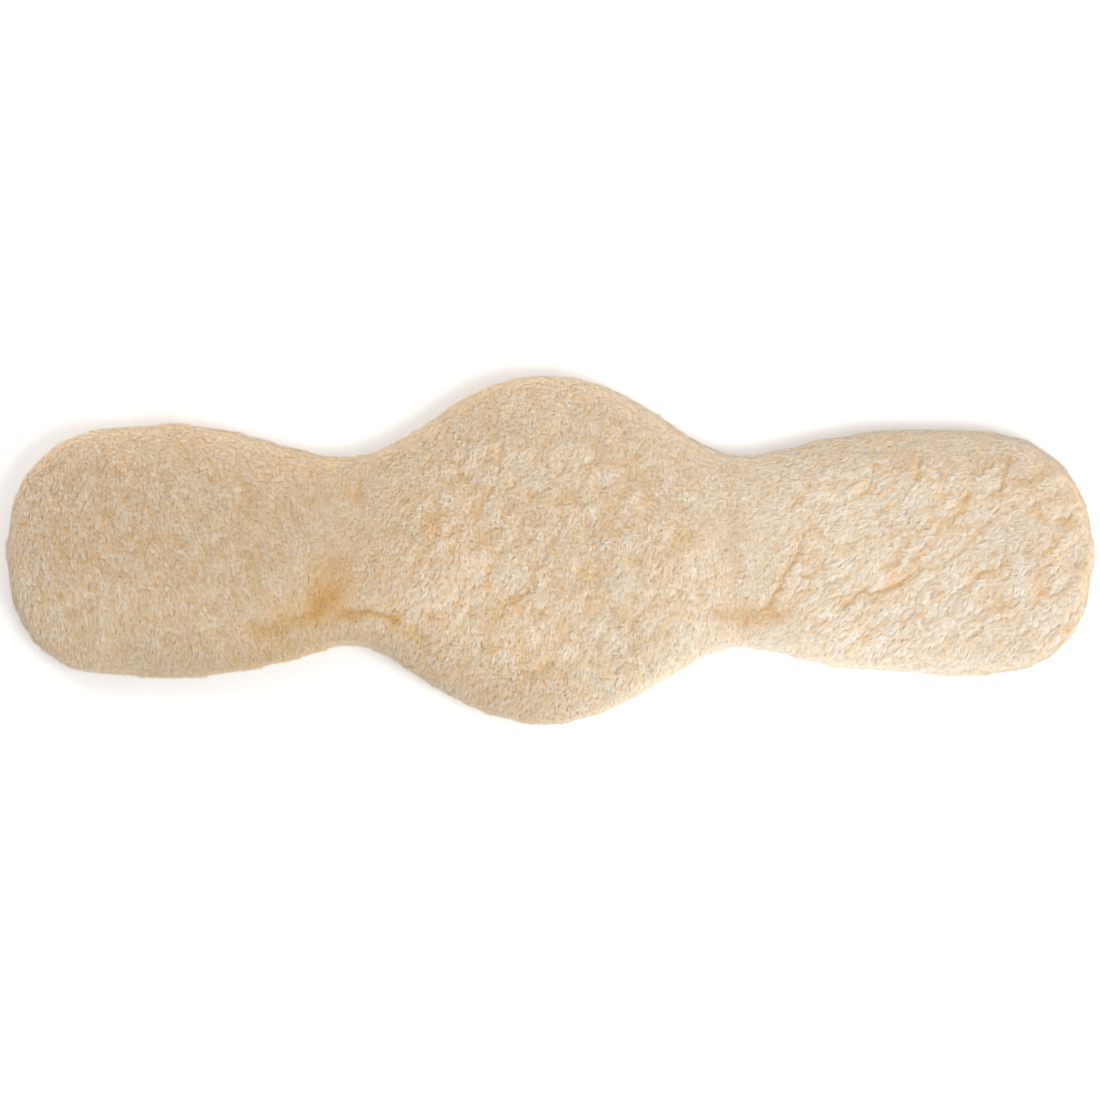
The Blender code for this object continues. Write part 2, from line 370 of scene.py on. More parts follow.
def swell(obj):
    """Blows the pad up a little with cloth simulation, and keeps what it makes within a cap."""
    before = read_points(obj.data)
    sewn = obj.vertex_groups.new(name="sewn")
    sewn.add([int(i) for i in np.flatnonzero(before[:, 2] < SEWN_BELOW)], 1.0, "REPLACE")
    cloth = obj.modifiers.new("swell", "CLOTH")
    cloth.settings.use_pressure = True
    cloth.settings.uniform_pressure_force = PRESSURE
    cloth.settings.effector_weights.gravity = 0
    cloth.settings.vertex_group_mass = "sewn"
    cloth.point_cache.frame_end = SWELL_FRAMES
    for number in range(1, SWELL_FRAMES + 1):
        bpy.context.scene.frame_set(number)
    apply_modifiers(obj)
    bpy.context.scene.frame_set(1)
    change = read_points(obj.data) - before
    print("swelling, furthest:", round(float(np.abs(change).max() / MM), 2), "mm")
    change[:, :2] = SWELL_OUT * np.tanh(change[:, :2] / SWELL_OUT)
    change[:, 2] = SWELL_UP * np.tanh(change[:, 2] / SWELL_UP)
    write_points(obj.data, before + change)
    obj.vertex_groups.clear()


remesh(pad, VOXEL)
swell(pad)
finer = pad.modifiers.new("finer", "SUBSURF")
finer.levels = finer.render_levels = 2
apply_modifiers(pad)
print("swollen pad:", len(pad.data.vertices), "points")

# %% [markdown]
# ## Where the pile parts
# Handling leaves its mark in a fleece. Where the pad bends or was pressed, the pile parts along a line. Its
# fibres are coloured darker and golden there and in the furrows, and paler on the ridges: painted shade and
# painted highlight for the hollows and crests. Each parting is a short path with a width and a depth. The
# right arm and the middle also have soft furrows, which are lines where a stretched random pattern crosses
# zero, and the whole top has small ridges that run the way its locks of pile run.

# %% Where the pile parts
PARTINGS = [  # depth in mm, half-width in mm, gold from 0 to 1, then the path in mm
    (0.7, 1.4, 0.30, [(-94, 38), (-96, 24)]),
    (0.3, 2.2, 0.25, [(-89, 8), (-86, -4)]),
    (0.7, 6.5, 1.0, [(-115, -28), (-110, -20)]),
    (0.4, 11.0, 0.4, [(-112, -24), (-107, -12)]),
    (0.7, 2.2, 0.80, [(-103, -29), (-97, -30), (-86, -30), (-75, -32)]),
    (0.4, 4.5, 0.50, [(-144, -38), (-130, -36), (-118, -31)]),
    (0.2, 4.0, 0.15, [(-78, -33), (-66, -39), (-55, -46)]),
    (1.2, 1.6, 0.35, [(127, 7), (118, -10), (108, -28)]),
    (0.4, 5.5, 0.40, [(86, -29), (101, -32), (116, -31)]),
    (0.2, 3.5, 0.12, [(92, 40), (92, 10), (91, -26)]),
    (1.3, 1.4, 0.30, [(137, -35), (152, -23), (174, -15)]),
    (1.3, 1.4, 0.25, [(185, 48), (182, 38)]),
    (1.3, 1.4, 0.30, [(228, 44), (224, 29)]),
    (0.6, 1.6, 0.20, [(206, 27), (192, 11), (180, -4)]),
]


def random_hills(x, y, size, seed):
    """Smooth random heights from -1 to 1, with hills about size apart."""
    cells = 64
    table = np.random.default_rng(seed).uniform(-1, 1, (cells, cells))
    u, v = x / size, y / size
    i, j = np.floor(u).astype(int), np.floor(v).astype(int)
    a, b = u - i, v - j
    a, b = a * a * (3 - 2 * a), b * b * (3 - 2 * b)
    low = table[i % cells, j % cells] * (1 - a) + table[(i + 1) % cells, j % cells] * a
    high = table[i % cells, (j + 1) % cells] * (1 - a) + table[(i + 1) % cells, (j + 1) % cells] * a
    return low * (1 - b) + high * b


def ease(low, high, x):
    t = np.clip((x - low) / (high - low), 0, 1)
    return t * t * (3 - 2 * t)


def path_distance(x, y, path):
    """Distance of each point to a path of straight runs."""
    nearest = np.full(len(x), np.inf)
    for (x0, y0), (x1, y1) in zip(path, path[1:]):
        run = np.array([x1 - x0, y1 - y0])
        t = np.clip(((x - x0) * run[0] + (y - y0) * run[1]) / (run @ run), 0, 1)
        nearest = np.minimum(nearest, np.hypot(x - x0 - t * run[0], y - y0 - t * run[1]))
    return nearest


def partings(x, y):
    """The depth of the partings in millimetres and their gold from 0 to 1."""
    depth, gold = np.zeros(len(x)), np.zeros(len(x))
    wander_x = x + 2.0 * random_hills(x, y, 7, 31)
    wander_y = y + 2.0 * random_hills(x, y, 7, 32)
    for deep, wide, golden, path in PARTINGS:
        mark = np.exp(-((path_distance(wander_x, wander_y, path) / wide) ** 2))
        depth += deep * mark
        gold = np.maximum(gold, golden * mark)
    return depth, gold


def furrow_field(x, y, degrees, wide, long, seed):
    """Soft furrows that run at an angle, wide apart and long: 1 in a furrow, 0 between them."""
    c, s = math.cos(math.radians(degrees)), math.sin(math.radians(degrees))
    along, across = x * c + y * s, y * c - x * s
    across = across + 3.0 * random_hills(x, y, 24, seed) + 1.0 * random_hills(x, y, 8, seed + 1)
    hills = random_hills(along / long * wide, across, wide, seed + 2)
    return np.clip(1 - abs(hills) / 0.35, 0, 1) ** 2


def ridges(x, y, degrees, wide, long, seed):
    """Soft ridges and hollows that run at an angle: from -1 to 1."""
    c, s = math.cos(math.radians(degrees)), math.sin(math.radians(degrees))
    along, across = x * c + y * s, y * c - x * s
    across = across + 1.5 * random_hills(x, y, 11, seed)
    return random_hills(along / long * wide, across, wide, seed + 1)


def to_the_edge(x, y):
    """0 on the middle line and 1 at the edge."""
    half = np.where(y > 0, np.interp(x, *np.array(FRONT).T), np.interp(x, *np.array(REAR).T))
    return abs(y) / half


def relief(x, y):
    """How deep the pile lies at each point, and how golden it looks there."""
    depth, gold = partings(x, y)
    right = ease(95, 150, x)
    left = ease(-100, -140, x)
    middle = 1 - ease(55, 100, abs(x))
    inner = 1 - ease(0.6, 0.85, to_the_edge(x, y))
    right_marks = 0.6 * furrow_field(x, y, 36, 6.5, 22.0, 41) + 0.85 * ridges(x, y, 38, 2.0, 10.0, 44)
    middle_marks = 0.6 * furrow_field(x, y, 62, 9.0, 20.0, 51) + 0.65 * ridges(x, y, 62, 2.5, 5.5, 54)
    depth += inner * right * right_marks
    depth += inner * middle * middle_marks
    depth += inner * left * 0.35 * ridges(x, y, -58, 2.0, 5.0, 61)
    depth += 0.25 * random_hills(x, y, 4.0, 71)
    return depth, gold


print(len(PARTINGS), "partings")

# %% [markdown]
# ## Pressing the partings into the pad
# A parting is a place where the pile stands apart, and the cloth under it sinks a little too. So the pad
# itself is pressed in by most of each parting's depth. Only the top is pressed, because the rolled edge is
# under tension and stays smooth.

# %% Pressing the partings into the pad
PRESSED = 0.8  # share of a parting's depth that goes into the pad itself


def read_normals(mesh):
    normals = np.empty(len(mesh.vertices) * 3, np.float32)
    mesh.vertices.foreach_get("normal", normals)
    return normals.reshape(-1, 3).astype(float)


def press_relief(obj):
    points, normals = read_points(obj.data), read_normals(obj.data)
    depth, _ = relief(points[:, 0] / MM, points[:, 1] / MM)
    top = ease(0.7, 0.96, normals[:, 2])
    write_points(obj.data, points - normals * (depth * top * PRESSED * MM)[:, None])


press_relief(pad)
pad.data.shade_smooth()
print("pad with its relief:", [round(float(v), 4) for v in pad.dimensions])

# %% [markdown]
# ## How the pile lies
# Real pile leans. Here it is brushed towards the rear edge: to the right on the left arm, straight back in
# the middle and to the left on the right arm. Fibres also stick together in small locks, and each fibre
# bends towards the middle of its own lock, which is what gives fleece its grain. Scattered points that are
# stretched along the lock's own angle give the locks: each root belongs to the nearest one.

# %% Locks of pile
LOCKS = [  # where a kind of lock starts along the liner in mm, its angle, its length and its width in mm
    (-300, -58, 3.2, 1.0),
    (-98, 62, 2.4, 1.5),
    (105, 36, 4.6, 1.6),
]
BLURRED = 22.0  # how far one kind of lock runs into the next in mm


def cell_random(cells, seed):
    """A steady random number from 0 to 1 for each row of whole numbers."""
    mixed = (cells * np.array([73856093, 19349663, 83492791])).sum(axis=1) + seed * 2654435761
    mixed = (mixed ^ (mixed >> 13)) * 1274126177 & 0xFFFFFFFF
    mixed = (mixed ^ (mixed >> 16)) * 668265263 & 0xFFFFFFFF
    return (mixed & 0xFFFFFF) / float(0x1000000)


def nearest_lock(points):
    """The middle of each point's lock, in the points' own units, and that lock's cell."""
    cell = np.floor(points).astype(np.int64)
    best = np.full(len(points), np.inf)
    middle, chosen = np.zeros_like(points), np.zeros_like(cell)
    for dx in (-1, 0, 1):
        for dy in (-1, 0, 1):
            for dz in (-1, 0, 1):
                other = cell + (dx, dy, dz)
                jitter = np.column_stack([cell_random(other, k) for k in (1, 2, 3)])
                centre = other + jitter
                gap = ((points - centre) ** 2).sum(axis=1)
                nearer = gap < best
                best[nearer] = gap[nearer]
                middle[nearer] = centre[nearer]
                chosen[nearer] = other[nearer]
    return middle, chosen


def lock_pull(points, rng):
    """For each root, the way to the middle of its lock in mm, and the lock's cell."""
    way, cells = np.zeros_like(points), np.zeros((len(points), 3), np.int64)
    x = points[:, 0] + BLURRED * rng.uniform(-1, 1, len(points))
    starts = [kind[0] for kind in LOCKS] + [300]
    for number, (start, degrees, long, wide) in enumerate(LOCKS):
        mine = (x >= start) & (x < starts[number + 1])
        c, s = math.cos(math.radians(degrees)), math.sin(math.radians(degrees))
        turn = np.array([[c, -s, 0], [s, c, 0], [0, 0, 1]])
        size = np.array([long, wide, wide])
        q = points[mine] @ turn / size
        middle, cell = nearest_lock(q)
        way[mine] = (middle - q) * size @ turn.T
        cells[mine] = cell + 5000 * number
    return way, cells


# %% [markdown]
# ## Roots on the bed
# Pile is knitted into a cloth, so its roots cover the whole outside evenly. Roots are scattered over the
# pad's faces by their area. The sides get fewer, since fibres there lie flat over one another, and the
# underside where the back is sewn on gets none.

# %% Roots on the bed
PILE_DENSITY = 6.0  # fibres per square millimetre on top


def unit(v):
    return v / np.maximum(np.linalg.norm(v, axis=1), 1e-9)[:, None]


def scatter_roots(mesh, density, rng):
    """Random root points over the pad, thinner on the sides and none where the back will be."""
    mesh.calc_loop_triangles()
    corners = np.empty(len(mesh.loop_triangles) * 3, np.int32)
    mesh.loop_triangles.foreach_get("vertices", corners)
    corners = corners.reshape(-1, 3)
    points, normals = read_points(mesh), read_normals(mesh)
    a, b, c = (points[corners[:, k]] for k in range(3))
    face = np.cross(b - a, c - a)
    area = np.linalg.norm(face, axis=1) / 2 / MM**2
    facing = face[:, 2] / np.maximum(np.linalg.norm(face, axis=1), 1e-12)
    under = (facing < -0.985) & (a[:, 2] < ROLL_LOW + 0.6 * MM)
    weight = area * np.interp(facing, [-1, -0.3, 0.3, 0.7], [0.35, 0.55, 0.75, 1.0]) * ~under
    count = int(weight.sum() * density)
    picked = rng.choice(len(corners), count, p=weight / weight.sum())
    u, v = rng.random(count), rng.random(count)
    flip = u + v > 1
    u[flip], v[flip] = 1 - u[flip], 1 - v[flip]
    share = np.column_stack([1 - u - v, u, v])[:, :, None]
    root = (points[corners[picked]] * share).sum(axis=1)
    normal = unit((normals[corners[picked]] * share).sum(axis=1))
    return root, normal


# %% [markdown]
# ## The lie of each fibre
# The lie is the compass angle that the pile is brushed to. It changes slowly along the liner, and the
# fibres of one lock swing off it together. Over the rolled edge the fibres can't lean back inwards, so
# there they run along the edge or over it.

# %% The lie of each fibre
# Each pair is a place along the liner in mm, and there the lie in degrees, the degrees that fibres swing
# off it, and how far the fibres of a lock swing together, from 0 to 1.
LIE = [(-270, -62), (-130, -62), (-80, -85), (0, -100), (70, -112), (130, -143), (270, -150)]
SPREAD = [(-270, 26), (-120, 30), (-70, 60), (70, 60), (120, 26), (270, 22)]
TOGETHER = [(-270, 0.6), (-110, 0.62), (-60, 0.78), (60, 0.78), (120, 0.2), (270, 0.15)]


def fibre_direction(root, normal, swing, rng):
    """The way each fibre leans, along the surface. The fibres of a lock swing off the lie together."""
    x = root[:, 0] / MM
    rim = np.sqrt(np.clip((0.996 - normal[:, 2]) / 0.3, 0, 1))
    spread = np.interp(x, *np.array(SPREAD, float).T) * (1 - 0.6 * rim)
    together = np.interp(x, *np.array(TOGETHER, float).T)
    spread *= together * swing + (1 - 0.5 * together) * rng.normal(size=len(x))
    degrees = np.interp(x, *np.array(LIE, float).T) + spread
    degrees += 14 * random_hills(x, root[:, 1] / MM, 22, 81)
    a = np.radians(degrees)
    lie = np.column_stack([np.cos(a), np.sin(a)])
    outwards = unit(normal[:, :2] + 1e-6)
    steep = np.linalg.norm(normal[:, :2], axis=1)
    out_share = (lie * outwards).sum(axis=1)
    out_share = np.where(out_share < 0, out_share * (1 - rim), out_share)[:, None]
    down_the_side = np.column_stack([outwards * normal[:, 2:], -steep])
    sideways = lie - outwards * (lie * outwards).sum(axis=1)[:, None]
    along_the_side = np.column_stack([sideways, np.zeros(len(a))])
    return unit(down_the_side * out_share + along_the_side), rim


print("the pile is brushed towards the rear edge")

# %% [markdown]
# ## Growing the fibres
# One fibre is a narrow blade of two faces: a quad from the root to halfway and a triangle to the tip. Real
# geometry gives the pile its true edge and its own small shadows, which a picture on a smooth pad can't. A
# blade is much wider than a wool fibre, so it is shaded mostly with the pad's own direction: then a patch
# of blades looks as soft as wool. Painted shade darkens the left arm, most of all along its rear edge, and
# the front edge of the right arm a little.

# %% Growing the fibres
FIBRE_LONG = 4.4 * MM
FIBRE_WIDE = 0.23 * MM
LEAN = [(-270, 46), (-120, 42), (-60, 32), (60, 32), (120, 44), (270, 46)]  # mm along the liner, degrees
RIM_LEAN = 72  # degrees, where the surface turns down over the rolled edge
BENT = (0.75, 1.12)  # the lower and the upper half of a fibre lean this much of its lean
RIM_BENT = (0.9, 1.04)
# PALER is partly the fleece's own tone and partly painted light: the pile is made paler towards the right
# end, where the key lamp's light falls strongest.
PALER = [(-270, -0.1), (-150, -0.15), (0, -0.04), (110, 0.14), (270, 0.2)]  # tone added along the liner
PAINTED_SHADE = {  # painted shade: how much darker the pile is made, in the middle of the liner's width and at each edge
    "middle": [(-265, 0.04), (-190, 0.1), (-130, 0.13), (-50, 0.0), (50, 0.06), (140, 0.01), (260, 0.08)],
    "front": [(-240, 0.0), (-130, 0.09), (0, 0.02), (90, 0.09), (140, 0.17), (250, 0.14)],
    "rear": [(-240, 0.11), (-190, 0.2), (-130, 0.22), (0, 0.14), (50, 0.02), (140, -0.03), (250, 0.06)],
}
LOCK_PULL = 0.45  # share of the way to its lock's middle that a fibre's tip bends
LIFT_OFF_FLOOR = 0.4 * MM
TWIST = 0.35  # how unevenly the blades are turned
ROOTED = 0.4 * MM  # how deep a fibre starts under the bed's surface
SMOOTHED = 0.9  # how far a fibre is shaded as part of the pile's surface and not as a blade


def leaning(normal, way, lean, long):
    """A run of some length that leans from the normal towards a way along the surface."""
    return (normal * np.cos(lean)[:, None] + way * np.sin(lean)[:, None]) * long[:, None]


def soil(x, y):
    """How much darker the pile is made at each point: painted shade, darkest along the left arm's rear edge.
    """
    middle, front, rear = (np.interp(x, *np.array(PAINTED_SHADE[k], float).T) for k in ("middle", "front", "rear"))
    at_edge = ease(0.5, 0.95, to_the_edge(x, y))
    return middle + (np.where(y > 0, front, rear) - middle) * at_edge


def grow(root, normal, rng):
    """Five points and two faces for each fibre: a pair at the root, a pair halfway and the tip."""
    count = len(root)
    x, y = root[:, 0] / MM, root[:, 1] / MM
    way, cell = lock_pull(root / MM, rng)
    way -= normal * (way * normal).sum(axis=1)[:, None]
    lock_turn, lock_high, lock_tone, lock_swing = (cell_random(cell, k) for k in (11, 12, 13, 14))
    lean_way, rim = fibre_direction(root, normal, 2 * lock_swing - 1, rng)
    depth, gold = relief(x, y)
    top = ease(0.7, 0.96, normal[:, 2])
    furrow = np.clip(depth / 1.6, 0, 1) * top
    long = FIBRE_LONG * rng.uniform(0.75, 1.2, count) * (0.8 + 0.4 * lock_high)
    long *= 1 - 0.4 * rim - 0.3 * furrow
    lean = np.radians(np.interp(x, *np.array(LEAN, float).T)) * (0.8 + 0.4 * lock_turn)
    lean += 0.18 * (1 - 0.5 * rim) * rng.normal(size=count)
    lean = np.clip(lean * (1 - rim) + math.radians(RIM_LEAN) * rim, 0.2, 1.4)
    low_lean, high_lean = (lean * (a + (b - a) * rim) for a, b in zip(BENT, RIM_BENT))
    half = root + leaning(normal, lean_way, low_lean, long / 2)
    tip = half + leaning(normal, lean_way, high_lean, long / 2)
    pull = LOCK_PULL * (1 - 0.7 * rim)[:, None] * way * MM
    half += 0.45 * pull
    tip += pull
    twist = (TWIST * (1 - 0.7 * rim))[:, None] * rng.normal(size=(count, 3))
    broad = unit(unit(np.cross(normal, tip - root)) + twist)
    facing = unit(np.cross(broad, tip - root))
    outwards = np.where((facing * normal).sum(axis=1) < 0, -1, 1)[:, None]
    broad, facing = broad * outwards, facing * outwards
    wide = (FIBRE_WIDE * rng.uniform(0.7, 1.25, count))[:, None]
    root = root - normal * ROOTED
    points = np.stack([root - broad * wide / 2, root + broad * wide / 2, half - broad * wide * 0.42,
                       half + broad * wide * 0.42, tip], axis=1)
    smoothed = (SMOOTHED * (1 - 0.1 * rim))[:, None]
    shade = unit(smoothed * normal + (1 - smoothed) * facing)
    points[:, :, 2] = np.maximum(points[:, :, 2], LIFT_OFF_FLOOR)
    # Painted shade: the tone runs from dark golden at the root to cream at the tip, so that the gaps between
    # the fibres look shaded.
    tone = np.stack([0.05 * np.ones(count)] * 2 + [0.55 * np.ones(count)] * 2 + [np.ones(count)], axis=1)
    # Painted shade: the pile is made darker on the left arm, most along its rear edge, and on the right arm's
    # front edge.
    painted_dark = soil(x, y)
    uneven = 0.5 * (1 - 0.5 * rim) * (lock_tone - 0.5) + 0.1 * rng.normal(size=count) - painted_dark
    # Painted shade and painted highlight: fibres in hollows and partings are made darker, fibres on ridges
    # paler.
    uneven -= 0.45 * top * np.clip(depth, -0.8, 0.8)
    uneven += np.interp(x, *np.array(PALER, float).T)
    # Painted shade: fibres in furrows are made darker still.
    tone = tone * (1 - 0.35 * furrow)[:, None] + uneven[:, None]
    # Painted shade: golden flecks on some locks stand for the shaded gaps between locks.
    speckle = 0.34 * ease(0.7, 1.0, lock_high) * (1 - 0.6 * rim)
    gold = np.clip(gold * (0.05 + 1.0 * lock_tone + 0.9 * rng.random(count)) + speckle, 0, 1)
    gold, painted_dark = (np.repeat(values[:, None], 5, axis=1) for values in (gold, painted_dark))
    return points, tone, gold, painted_dark, shade


def fibre_mesh(name, points, tone, gold, worn_and_shaded, shade):
    """A mesh of separate fibres with their tone, gold, painted shade and shading direction stored on the
    points.
    """
    count = len(points)
    first = np.arange(count)[:, None] * 5
    loops = np.concatenate([first + [0, 1, 3, 2], first + [2, 3, 4]], axis=1).ravel()
    starts = (np.arange(count)[:, None] * 7 + [0, 4]).ravel()
    mesh = bpy.data.meshes.new(name)
    mesh.vertices.add(count * 5)
    mesh.vertices.foreach_set("co", points.astype(np.float32).ravel())
    mesh.loops.add(len(loops))
    mesh.loops.foreach_set("vertex_index", loops.astype(np.int32))
    mesh.polygons.add(len(starts))
    mesh.polygons.foreach_set("loop_start", starts.astype(np.int32))
    mesh.update(calc_edges=True)
    for label, values in (("tone", tone), ("gold", gold), ("soil", worn_and_shaded)):
        made = mesh.attributes.new(label, "FLOAT", "POINT")
        made.data.foreach_set("value", values.astype(np.float32).ravel())
    mesh.shade_smooth()
    mesh.normals_split_custom_set_from_vertices(np.repeat(shade, 5, axis=0))
    made = bpy.data.objects.new(name, mesh)
    bpy.context.collection.objects.link(made)
    return made


print("fibres are", FIBRE_LONG / MM, "mm long")

# %% [markdown]
# ## The colour of fleece
# The tips are cream and the roots are golden and darker: that root colour is painted shade, the warm shade
# deep in the pile. A node group mixes the two by the tone stored on each fibre, adds the gold of the
# partings, which is painted shade too, and the painted shade of the left arm and the edges, and breaks them
# up with two sizes of noise: one for locks, one for broad washes of colour.

# %% A node group for fleece colour
def new_group(name, inputs, outputs):
    """A shader node group with named sockets: each is (name, kind, default)."""
    group = bpy.data.node_groups.new(name, "ShaderNodeTree")
    for label, kind, value in inputs:
        socket = group.interface.new_socket(label, in_out="INPUT", socket_type=kind)
        socket.default_value = value
    for label, kind in outputs:
        group.interface.new_socket(label, in_out="OUTPUT", socket_type=kind)
    return group, group.nodes.new("NodeGroupInput"), group.nodes.new("NodeGroupOutput")


def node(tree, kind, settings=(), **sockets):
    """Adds a node, sets its properties and its unlinked sockets."""
    made = tree.nodes.new(kind)
    for label, value in dict(settings).items():
        setattr(made, label, value)
    for label, value in sockets.items():
        made.inputs[label.replace("_", " ")].default_value = value
    return made


def mix_colour(tree, share, a, b, blend="MIX"):
    """A colour mix; share, a and b are sockets or plain values."""
    made = tree.nodes.new("ShaderNodeMix")
    made.data_type = "RGBA"
    made.blend_type = blend
    for place, value in ((0, share), (6, a), (7, b)):
        if isinstance(value, bpy.types.NodeSocket):
            tree.links.new(value, made.inputs[place])
        else:
            made.inputs[place].default_value = value
    return made.outputs[2]


def scaled(tree, value, low, high, out_low=0.0, out_high=1.0):
    """A value stretched from one range to another, and kept inside it."""
    made = tree.nodes.new("ShaderNodeMapRange")
    tree.links.new(value, made.inputs["Value"])
    for label, number in (("From Min", low), ("From Max", high), ("To Min", out_low), ("To Max", out_high)):
        made.inputs[label].default_value = number
    return made.outputs["Result"]


def noise(tree, scale, detail=3.0, roughness=0.6):
    """Noise in metres of the object's own space, so it doesn't depend on a UV map."""
    place = tree.nodes.new("ShaderNodeTexCoord")
    made = node(tree, "ShaderNodeTexNoise", Scale=scale, Detail=detail, Roughness=roughness)
    tree.links.new(place.outputs["Object"], made.inputs["Vector"])
    return made.outputs["Fac"]


TIP = (0.89, 0.85, 0.765, 1)
# ROOT's darker golden colour is painted shade: the warm shade deep in the pile.
ROOT = (0.81, 0.565, 0.275, 1)
# GOLD is painted shade: the deep golden colour of the partings and of the gaps between locks.
GOLD = (0.68, 0.40, 0.13, 1)
WARM = (0.87, 0.79, 0.635, 1)


def fleece_colour_group():
    defaults = {"Tone": 1.0, "Gold": 0.0, "Soil": 0.0}
    inputs = [(label, "NodeSocketFloat", value) for label, value in defaults.items()]
    group, given, made = new_group("fleece colour", inputs, [("Color", "NodeSocketColor")])
    clean = mix_colour(group, scaled(group, given.outputs["Tone"], 0.0, 1.0), ROOT, TIP)
    washed = mix_colour(group, scaled(group, noise(group, 22.0, 2.0), 0.4, 0.7, 0.0, 0.35), clean, WARM)
    locks = scaled(group, noise(group, 420.0, 2.0), 0.3, 0.7, 0.9, 1.06)
    uneven = mix_colour(group, 1.0, washed, locks, "MULTIPLY")
    golden = mix_colour(group, given.outputs["Gold"], uneven, GOLD)
    # Painted shade: the colour is multiplied darker by the stored painted shade.
    kept = scaled(group, given.outputs["Soil"], -0.1, 0.3, 1.1, 0.7)
    group.links.new(mix_colour(group, 1.0, golden, kept, "MULTIPLY"), made.inputs["Color"])
    return group


fleece_colour = fleece_colour_group()
print("node group:", fleece_colour.name)

# %% [markdown]
# ## Fibre and bed materials
# The fibres read the colour from what is stored on them. The bed is the cloth that shows only where the
# pile parts, so it stays near the colour of the roots and has a fine bump. A fibre is matt, with a little
# sheen, as wool and polyester pile are.

# %% Fibre and bed materials
def new_material(name, roughness):
    material = bpy.data.materials.new(name)
    material.use_nodes = True
    shader = material.node_tree.nodes["Principled BSDF"]
    shader.inputs["Roughness"].default_value = roughness
    return material, material.node_tree, shader


def attribute(tree, name):
    made = tree.nodes.new("ShaderNodeAttribute")
    made.attribute_name = name
    return made.outputs["Fac"]


def place_group(tree, group, **links):
    made = tree.nodes.new("ShaderNodeGroup")
    made.node_tree = group
    for label, value in links.items():
        socket = made.inputs[label.replace("_", " ")]
        if isinstance(value, bpy.types.NodeSocket):
            tree.links.new(value, socket)
        else:
            socket.default_value = value
    return made


def fibre_material():
    material, tree, shader = new_material("pile fibre", 0.8)
    stored = {label.title(): attribute(tree, label) for label in ("tone", "gold", "soil")}
    colour = place_group(tree, fleece_colour, **stored)
    tree.links.new(colour.outputs["Color"], shader.inputs["Base Color"])
    shader.inputs["Sheen Weight"].default_value = 0.25
    shader.inputs["Sheen Roughness"].default_value = 0.5
    shader.inputs["Specular IOR Level"].default_value = 0.2
    return material


def bed_material():
    material, tree, shader = new_material("pile bed", 0.95)
    tone = scaled(tree, noise(tree, 600.0), 0.3, 0.7, 0.1, 0.5)
    colour = place_group(tree, fleece_colour, Tone=tone, Gold=0.1)
    tree.links.new(colour.outputs["Color"], shader.inputs["Base Color"])
    bump = node(tree, "ShaderNodeBump", Strength=0.6, Distance=0.001)
    tree.links.new(noise(tree, 900.0, 4.0), bump.inputs["Height"])
    tree.links.new(bump.outputs["Normal"], shader.inputs["Normal"])
    return material


pile_fibre = fibre_material()
pile_bed = bed_material()
print("materials:", pile_fibre.name, "and", pile_bed.name)

# %% [markdown]
# ## Halves that fold
# Each waist folds, and a bending piece can cross only one joint. So everything that runs the whole length
# is made in two halves that meet in the middle of the broad part, which never bends. Here each half only
# has its placing baked into its mesh.

# %% Halves that fold
HANDS = (("left", -1), ("right", 1))


def fold_half(piece):
    """Bakes the piece's placing into its mesh; the piece is not bent here."""
    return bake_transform(piece)


def half_of(obj, name, side):
    """A copy of one half of an object, closed where it was cut."""
    bm = bmesh.new()
    bm.from_mesh(obj.data)
    everything = [*bm.verts, *bm.edges, *bm.faces]
    found = bmesh.ops.bisect_plane(
        bm, geom=everything, plane_co=(0, 0, 0), plane_no=(-side, 0, 0), clear_outer=True
    )
    cut = [e for e in found["geom_cut"] if isinstance(e, bmesh.types.BMEdge)]
    bmesh.ops.holes_fill(bm, edges=cut)
    mesh = bpy.data.meshes.new(name)
    bm.to_mesh(mesh)
    bm.free()
    mesh.shade_smooth()
    mesh.set_sharp_from_angle(angle=math.radians(60))
    made = bpy.data.objects.new(name, mesh)
    bpy.context.collection.objects.link(made)
    return made


for hand, side in HANDS:
    bed = half_of(pad, f"fleece_bed_{hand}", side)
    bed.data.materials.append(pile_bed)
    fold_half(bed)
    middle = ["fleece_centre"] if side < 0 else []
    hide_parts(f"fleece_{hand}_arm", f"fleece_{hand}_waist", *middle)
    print(bed.name, len(bed.data.polygons), "faces")

# %% [markdown]
# ## Growing the pile
# The roots are sorted along the liner and dealt into five tufted strips a side, so that no mesh grows too
# heavy.

# %% Growing the pile
STRIPS = 5
rng = np.random.default_rng(7)
roots, root_normals = scatter_roots(pad.data, PILE_DENSITY, rng)
fibres = grow(roots, root_normals, rng)
print(len(roots), "fibres")
for hand, side in HANDS:
    mine = np.flatnonzero(roots[:, 0] * side >= 0)
    mine = mine[np.argsort(abs(roots[mine, 0]))]
    for number, chosen in enumerate(np.array_split(mine, STRIPS), 1):
        strip = fibre_mesh(f"pile_{hand}_{number}", *(values[chosen] for values in fibres))
        strip.data.materials.append(pile_fibre)
        fold_half(strip)
        print(strip.name, len(strip.data.polygons), "faces")
bpy.data.objects.remove(pad, do_unlink=True)

# %% [markdown]
# ## Lines for the back
# The back is cut from the same outline as the pad, but further in. These helpers give the two long edges of
# one half at any inset, and one run round the half, which the cloth, the binding and its stitches all
# follow.

# %% Lines and meshes for the back
def half_lines(side, inset):
    """The front and the rear edge of one half, moved in, each from the middle to the tip."""
    lines = []
    for line, edge_side in ((front_edge, 1), (rear_edge, -1)):
        moved = moved_in(line, edge_side, inset)[line[:, 0] * side > -1e-6]
        moved = moved if side > 0 else moved[::-1]
        moved[0, 0] = 0
        lines.append(moved)
    return lines


